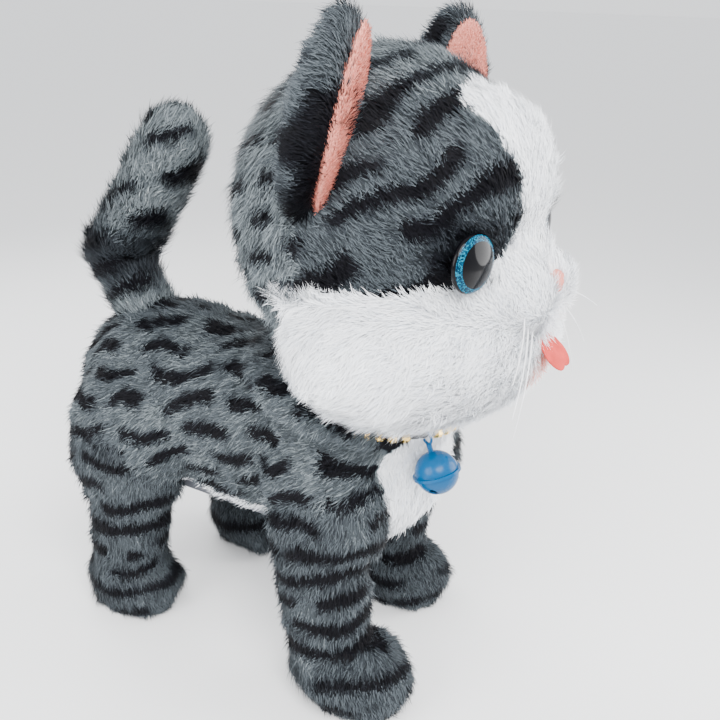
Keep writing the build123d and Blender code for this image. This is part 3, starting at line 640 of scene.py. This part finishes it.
        # nothing below the floor
        apart = n("ShaderNodeSeparateXYZ", {"Vector": n("GeometryNodeInputPosition").outputs["Position"]})
        lifted = n("ShaderNodeCombineXYZ", {
            "X": apart.outputs["X"], "Y": apart.outputs["Y"],
            "Z": self.maths("MAXIMUM", apart.outputs["Z"], 0.0004)})
        kept = n("GeometryNodeSetPosition", {
            "Geometry": real.outputs["Geometry"], "Position": lifted.outputs["Vector"]})
        last = kept.outputs["Geometry"]
        last = n("GeometryNodeSetMaterial", {"Geometry": last}, {"Material": materials[0]}).outputs["Geometry"]
        tip = self.named("tip")
        rootIndex = self.maths("MULTIPLY", self.named("level"), 2)
        tipIndex = self.maths("ADD", self.maths("MULTIPLY", self.named("tipLevel"), 2), 1)
        rise = self.maths("MULTIPLY", self.maths("SUBTRACT", tipIndex, rootIndex), tip)
        index = self.maths("ADD", rootIndex, rise)
        painted = n("GeometryNodeSetMaterialIndex", {"Geometry": last, "Material Index": index})
        self.node("NodeGroupOutput", {"Geometry": painted.outputs["Geometry"]})

    def grow(self, name, form, **facts):
        piece = bpy.data.objects.new(name, form.data.copy())
        bpy.context.collection.objects.link(piece)
        modifier = piece.modifiers.new("pile", "NODES")
        modifier.node_group = self.tree
        for label, value in facts.items():
            modifier[self.sockets[label]] = value
        applyModifiers(piece)
        indices = np.zeros(len(piece.data.polygons), np.int32)
        piece.data.polygons.foreach_get("material_index", indices)
        piece.data.materials.clear()
        for material in pileMaterials:
            piece.data.materials.append(material)
        piece.data.polygons.foreach_set("material_index", indices)
        for label in ("tone", "tipTone", "pile", "nap", "cover", "direction", "surfaceNormal", "level",
                      "tipLevel", "tip"):
            if label in piece.data.attributes:
                piece.data.attributes.remove(piece.data.attributes[label])
        return piece


pileMaterials = makePileMaterials()
backing = makeBackingMaterial()
strand = makeStrand()
pileTree = PileTree(strand, pileMaterials)
thin = 1.0      # fewer, wider strands while trying things
print("materials and strand ready")


def growCoat(name, form, layers, body=None, blendWith=None):
    for i, facts in enumerate(layers):
        facts = dict(facts)
        facts["Density"] = facts["Density"] * thin
        facts["Width"] = facts["Width"] * mm / math.sqrt(thin)
        piece = pileTree.grow(name + "_" + str(i + 1), form, Seed=11 + 7 * i, **facts)
        if blendWith:
            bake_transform(piece)
        else:
            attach(piece, body)
        print(piece.name, len(piece.data.polygons), "strand faces")


# finishes of the hard parts and the trimmings
finishes = {
    "grey_abs": {"colour": (0.09, 0.095, 0.11), "roughness": 0.5, "grain": 900, "bump": 0.15},
    "white_acetal": {"colour": (0.78, 0.77, 0.72), "roughness": 0.38, "grain": 500, "bump": 0.05},
    "steel": {"colour": (0.56, 0.56, 0.57), "roughness": 0.28, "grain": 700, "bump": 0.08, "metallic": 1.0},
    "cell_wrap": {"colour": (0.02, 0.022, 0.027), "roughness": 0.22, "grain": 150, "bump": 0.02},
    "board_green": {"colour": (0.01, 0.11, 0.035), "roughness": 0.35, "grain": 1200, "bump": 0.1},
    "black_plastic": {"colour": (0.012, 0.012, 0.014), "roughness": 0.42, "grain": 800, "bump": 0.12},
    "gold_bead": {"colour": (0.86, 0.58, 0.16), "roughness": 0.24, "grain": 600, "bump": 0.06, "metallic": 1.0},
    "blue_enamel": {"colour": (0.0, 0.07, 0.19), "roughness": 0.22, "grain": 260, "bump": 0.03, "gloss": 0.2},
    "washer_plastic": {"colour": (0.75, 0.75, 0.72), "roughness": 0.45, "grain": 600, "bump": 0.05},
    "fibre_filling": {"colour": (0.86, 0.86, 0.84), "roughness": 0.95, "grain": 320, "bump": 0.9},
    "coral_felt": {"colour": (0.64, 0.07, 0.06), "roughness": 0.95, "grain": 1500, "bump": 0.8, "gloss": 0.1},
    "pink_plush": {"colour": (0.72, 0.25, 0.20), "roughness": 0.95, "grain": 1300, "bump": 0.7, "gloss": 0.1},
    "nylon_whisker": {"colour": (0.88, 0.88, 0.90), "roughness": 0.3, "grain": 400, "bump": 0.0},
    "eye_gloss": {"colour": (0.002, 0.002, 0.003), "roughness": 0.08, "grain": 60, "bump": 0.0, "gloss": 0.14},
}


def finish(name):
    facts = finishes[name]
    colour = facts["colour"]
    material = shader(name, colour, facts["roughness"], facts.get("metallic", 0),
                      gloss=facts.get("gloss", 0.4))
    tree = material.node_tree
    surface = tree.nodes["Principled BSDF"]
    where = tree.nodes.new("ShaderNodeTexCoord")
    cloud = tree.nodes.new("ShaderNodeTexNoise")
    cloud.inputs["Scale"].default_value = facts["grain"] / 8
    cloud.inputs["Detail"].default_value = 4
    ramp = tree.nodes.new("ShaderNodeValToRGB")
    ramp.color_ramp.elements[0].position, ramp.color_ramp.elements[1].position = 0.3, 0.7
    ramp.color_ramp.elements[0].color = (*[0.82 * c for c in colour], 1)
    ramp.color_ramp.elements[1].color = (*[min(1.0, 1.12 * c) for c in colour], 1)
    grain = tree.nodes.new("ShaderNodeTexNoise")
    grain.inputs["Scale"].default_value = facts["grain"]
    bump = tree.nodes.new("ShaderNodeBump")
    bump.inputs["Strength"].default_value = facts["bump"]
    bump.inputs["Distance"].default_value = 0.0004
    tree.links.new(where.outputs["Object"], cloud.inputs["Vector"])
    tree.links.new(where.outputs["Object"], grain.inputs["Vector"])
    tree.links.new(cloud.outputs["Fac"], ramp.inputs["Fac"])
    tree.links.new(ramp.outputs["Color"], surface.inputs["Base Color"])
    tree.links.new(grain.outputs["Fac"], bump.inputs["Height"])
    tree.links.new(bump.outputs["Normal"], surface.inputs["Normal"])
    return material


finishOf = {name: finish(name) for name in finishes}


def makeGlitter():
    material = shader("eyeGlitter", (0.01, 0.15, 0.22), 0.25, gloss=0.12)
    tree = material.node_tree
    where = tree.nodes.new("ShaderNodeTexCoord")
    flakes = tree.nodes.new("ShaderNodeTexVoronoi")
    flakes.inputs["Scale"].default_value = 2600
    ramp = tree.nodes.new("ShaderNodeValToRGB")
    stops = ((0.0, (0.0, 0.004, 0.01)), (0.35, (0.0, 0.02, 0.05)),
             (0.65, (0.0, 0.06, 0.12)), (0.92, (0.0, 0.17, 0.25)))
    for i, (position, colour) in enumerate(stops):
        stop = ramp.color_ramp.elements[i] if i < 2 else ramp.color_ramp.elements.new(position)
        stop.position = position
        stop.color = (*colour, 1)
    apart = tree.nodes.new("ShaderNodeSeparateColor")
    tree.links.new(where.outputs["Object"], flakes.inputs["Vector"])
    tree.links.new(flakes.outputs["Color"], apart.inputs["Color"])
    tree.links.new(apart.outputs["Red"], ramp.inputs["Fac"])
    tree.links.new(ramp.outputs["Color"], tree.nodes["Principled BSDF"].inputs["Base Color"])
    return material


glitter = makeGlitter()


# eyes, nose, tongue and whiskers
face = {
    "eye": {"centre": (35, -99, 201), "turn": 16, "tip": 0, "width": 10.6, "dome": 3.8, "sink": 1.0,
            "pupil": 50, "iris": 72},
    "nose": {"centre": (0, -116.8, 189), "radius": 3.0, "spread": 3.2},
    "tongue": {"centre": (0, -116.5, 166), "tilt": -44},
    "whisker": {"root": (15, -113, 181), "length": 40, "thickness": 0.34,
                "rises": (-0.35, -0.75, -1.25), "drop": (3, 4, 5)},
}


def makeEye(sideName):
    side = sideSign[sideName]
    facts = face["eye"]
    x, y, z = facts["centre"]
    turn = deg(facts["turn"])
    toward = Vector((side * math.sin(turn), -math.cos(turn), math.sin(deg(facts["tip"]))))
    seat = Matrix.Translation(place((side * x, y, z)) - toward * facts["sink"] * mm)
    matrix = seat @ toward.to_track_quat("Z", "Y").to_matrix().to_4x4()
    bm = bmesh.new()
    bmesh.ops.create_uvsphere(bm, u_segments=56, v_segments=72, radius=1)
    for part in bm.faces:
        c = part.calc_center_median().normalized()
        angle = math.degrees(math.acos(clamp(c.z, -1, 1)))
        part.material_index = 1 if facts["pupil"] < angle < facts["iris"] else 0
    size = Matrix.Diagonal((facts["width"] * mm, facts["width"] * mm, facts["dome"] * mm, 1))
    bmesh.ops.transform(bm, matrix=matrix @ size, verts=bm.verts)
    eye = meshObject("eyeball_" + sideName, bm)
    eye.data.materials.append(finishOf["eye_gloss"])
    eye.data.materials.append(glitter)
    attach(eye, "head")
    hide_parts("eye_" + sideName)


def makeNose():
    facts = face["nose"]
    x, y, z = facts["centre"]
    r, spread = facts["radius"], facts["spread"]
    bm = bmesh.new()
    addLump(bm, (-spread, y + 1, z + 1.6), (r, r, r * 0.85))
    addLump(bm, (spread, y + 1, z + 1.6), (r, r, r * 0.85))
    addLump(bm, (0, y + 0.4, z - 1.8), (r, r, r * 0.95))
    addLump(bm, (0, y, z + 0.6), (r * 1.1, r * 1.05, r * 0.9))
    nose = softForm("nosePad", bm, voxel=0.5, rounds=6)
    nose.data.materials.append(finishOf["pink_plush"])
    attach(nose, "head")
    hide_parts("nose")


def makeTongue():
    facts = face["tongue"]
    centre = Vector(facts["centre"])
    down = Vector((0, math.sin(deg(facts["tilt"])), -math.cos(deg(facts["tilt"]))))
    bm = bmesh.new()
    turn = (facts["tilt"], 0, 0)
    addLump(bm, centre - down * 2, (7.0, 1.5, 10.5), turn)
    addLump(bm, centre + down * 2, (7.8, 1.5, 8.2), turn)
    for side in sideSign.values():
        addLump(bm, centre + down * 5.4 + Vector((side * 2.9, 0, 0)), (5.4, 1.6, 6.6), turn)
    tongue = softForm("tongueFelt", bm, voxel=0.45, rounds=4)
    tongue.data.materials.append(finishOf["coral_felt"])
    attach(tongue, "head")
    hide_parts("tongue")


def makeWhiskers():
    facts = face["whisker"]
    for sideName, side in sideSign.items():
        data = bpy.data.curves.new("whiskers_" + sideName, "CURVE")
        data.dimensions = "3D"
        data.bevel_depth = facts["thickness"] * mm
        data.bevel_resolution = 2
        data.use_fill_caps = True
        for row, (rise, drop) in enumerate(zip(facts["rises"], facts["drop"])):
            root = Vector(facts["root"]) + Vector((-1.5 * row, -1.5 * row + 2, -3.4 * row + 3))
            root.x *= side
            out = Vector((side * 0.88, -0.42, rise)).normalized()
            line = data.splines.new("NURBS")
            line.points.add(5)
            for i, point in enumerate(line.points):
                t = i / 5
                where = root + out * facts["length"] * t + Vector((0, 6 * t * t, -drop * t * t))
                point.co = (*place(where), 1)
                point.radius = mix(1.0, 0.35, t)
            line.use_endpoint_u = True
            line.order_u = 4
        whiskers = bpy.data.objects.new("whiskers_" + sideName, data)
        bpy.context.collection.objects.link(whiskers)
        whiskers.data.materials.append(finishOf["nylon_whisker"])
        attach(whiskers, "head")
        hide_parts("whiskers")


stuffing = {"radii": (44, 45, 46), "centre": (0, -46, 204), "tuft": 2.2}


def makeStuffing():
    bm = bmesh.new()
    addLump(bm, stuffing["centre"], stuffing["radii"], detail=5)
    for vertex in bm.verts:
        lump = noise.noise(vertex.co * 90) + 0.5 * noise.noise(vertex.co * 260)
        vertex.co += vertex.normal * lump * stuffing["tuft"] * mm
    piece = meshObject("headFilling", bm)
    piece.data.materials.append(finishOf["fibre_filling"])
    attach(piece, "head")
    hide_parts("head_stuffing")


makeCamera()
makeStage()
print("camera, light and floor ready")

# layers of strands: Density is strands to a square metre, Width and Long are shares of the usual
under = {"Density": 1.0e6, "Width": 0.54, "Lift": 0.34, "Mess": 0.34, "Clump": 1.3, "Speckle": 0.3, "Long": 0.8}
top = {"Density": 1.0e6, "Width": 0.39, "Lift": 0.32, "Mess": 0.40, "Clump": 1.7, "Speckle": 0.6, "Long": 1.05}
white = {"Density": 1.65e6, "Width": 0.37, "Lift": 0.75, "Mess": 0.45, "Clump": 1.9, "Speckle": 0.5,
         "Long": 1.0}
short = {"Density": 2.3e6, "Width": 0.43, "Lift": 1.2, "Mess": 0.5, "Clump": 0.8, "Speckle": 0.1, "Long": 1.0}


def wear(form, nodes, body=None, blendWith=None):
    form.data.materials.clear()
    form.data.materials.append(backing)
    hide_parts(*nodes)
    if blendWith:
        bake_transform(form)
    else:
        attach(form, body)


def dress(form, coatRule, layers, nodes, body=None, blendWith=None, coverRule=None):
    combForm(form, coatRule, coverRule)
    growCoat(form.name + "Pile", form, layers, body, blendWith)
    wear(form, nodes, body=body, blendWith=blendWith)


# places without pile: along the beads, under the head, in the hip joints, at the eyes and nose
bare = {
    "collar": {"height": 124.5, "at": -84, "slope": 0.2, "half": 4.5, "right": -34, "left": 30, "front": -66},
    "underHead": {"above": 138, "at": -44, "radius": 34},
    "hip": {"beyond": 30, "radius": 14},
    "eye": {"inward": 1.5, "radius": 8.6, "frontRadius": 11, "front": -100},
    "nose": 4.5, "neckBelow": 131.3, "seam": 0.2,
}


def torsoCover(p):
    collar, neck, hip = bare["collar"], bare["underHead"], bare["hip"]
    fromBeads = abs(p.z - collar["height"] + collar["slope"] * (p.y - collar["at"]))
    if p.y < collar["front"] and fromBeads < collar["half"] and collar["right"] < p.x < collar["left"]:
        return 0.0
    for name in legNames:
        end, side, hipY, ankleY = legFacts(name)
        reach = math.hypot(p.y - hipY, p.z - leg["hip"]["height"])
        if p.x * side > hip["beyond"] and reach < hip["radius"]:
            return 0.0
    underHead = p.z > neck["above"] and math.hypot(p.x, p.y - neck["at"]) < neck["radius"]
    return 0.0 if underHead else 1.0


def headCover(p):
    seam = head["seam"]
    offSeam = abs((Vector(seam["normal"])).dot(p - Vector(seam["point"])))
    inner = Vector((abs(p.x) + bare["eye"]["inward"], p.y, p.z))
    eye = (inner - Vector(face["eye"]["centre"])).length
    nose = (p - Vector(face["nose"]["centre"])).length
    onEye = eye < bare["eye"]["radius"] or (eye < bare["eye"]["frontRadius"] and p.y < bare["eye"]["front"])
    onNeck = p.z < bare["neckBelow"]
    return 0.0 if offSeam < bare["seam"] or onEye or nose < bare["nose"] or onNeck else 1.0


dress(makeTorsoForm(), torsoCoat, [under, top, dict(top, Long=0.9)], ["torso_plush"], "torso",
      coverRule=torsoCover)
print("body dressed")
dress(splitHead("headPlush", True), headCoat, [under, top, top], ["head_plush"], "head",
      coverRule=headCover)
dress(splitHead("cheekPlush", False), cheekCoat, [white, white], ["cheek_plush"], "head",
      coverRule=headCover)
print("head dressed")
tailLayer = dict(top, Density=2.7e6, Lift=0.55, Long=1.0)
dress(makeTailForm(), tailCoat, [tailLayer], ["tail_plush"], "tail")
for name in legNames:
    hipY = legFacts(name)[2]
    bend = ("torso", "leg_" + name, place((0, hipY, 88)), place((0, hipY, 52)))
    dress(makeLegForm(name), legCoat, [dict(top, Density=2.65e6)], ["leg_plush_" + name],
          blendWith=bend)
print("tail and legs dressed")
for sideName in sideSign:
    back, lining = makeEarForms(sideName)
    dress(back, earCoat, [dict(top, Density=2.6e6, Lift=0.5)], ["ear_" + sideName], "head")
    liningCoat = lambda p, n: (8, coat["liningPile"], Vector((0, -0.2, 1)))
    dress(lining, liningCoat, [short], ["ear_lining_" + sideName], "head")
    makeEye(sideName)
makeNose()
makeTongue()
makeWhiskers()
makeStuffing()
bpy.data.objects.remove(strand)
print("soft pieces made")

slotOf = {part["node"]: part["material_slot"] for part in frame["record"]["subparts"]}
for name, node in frame["nodes"].items():
    if not node.hide_render:
        node.data.materials.clear()
        node.data.materials.append(finishOf.get(slotOf[name], backing))
        if slotOf[name] not in finishOf:
            print("no finish for", name, slotOf[name])
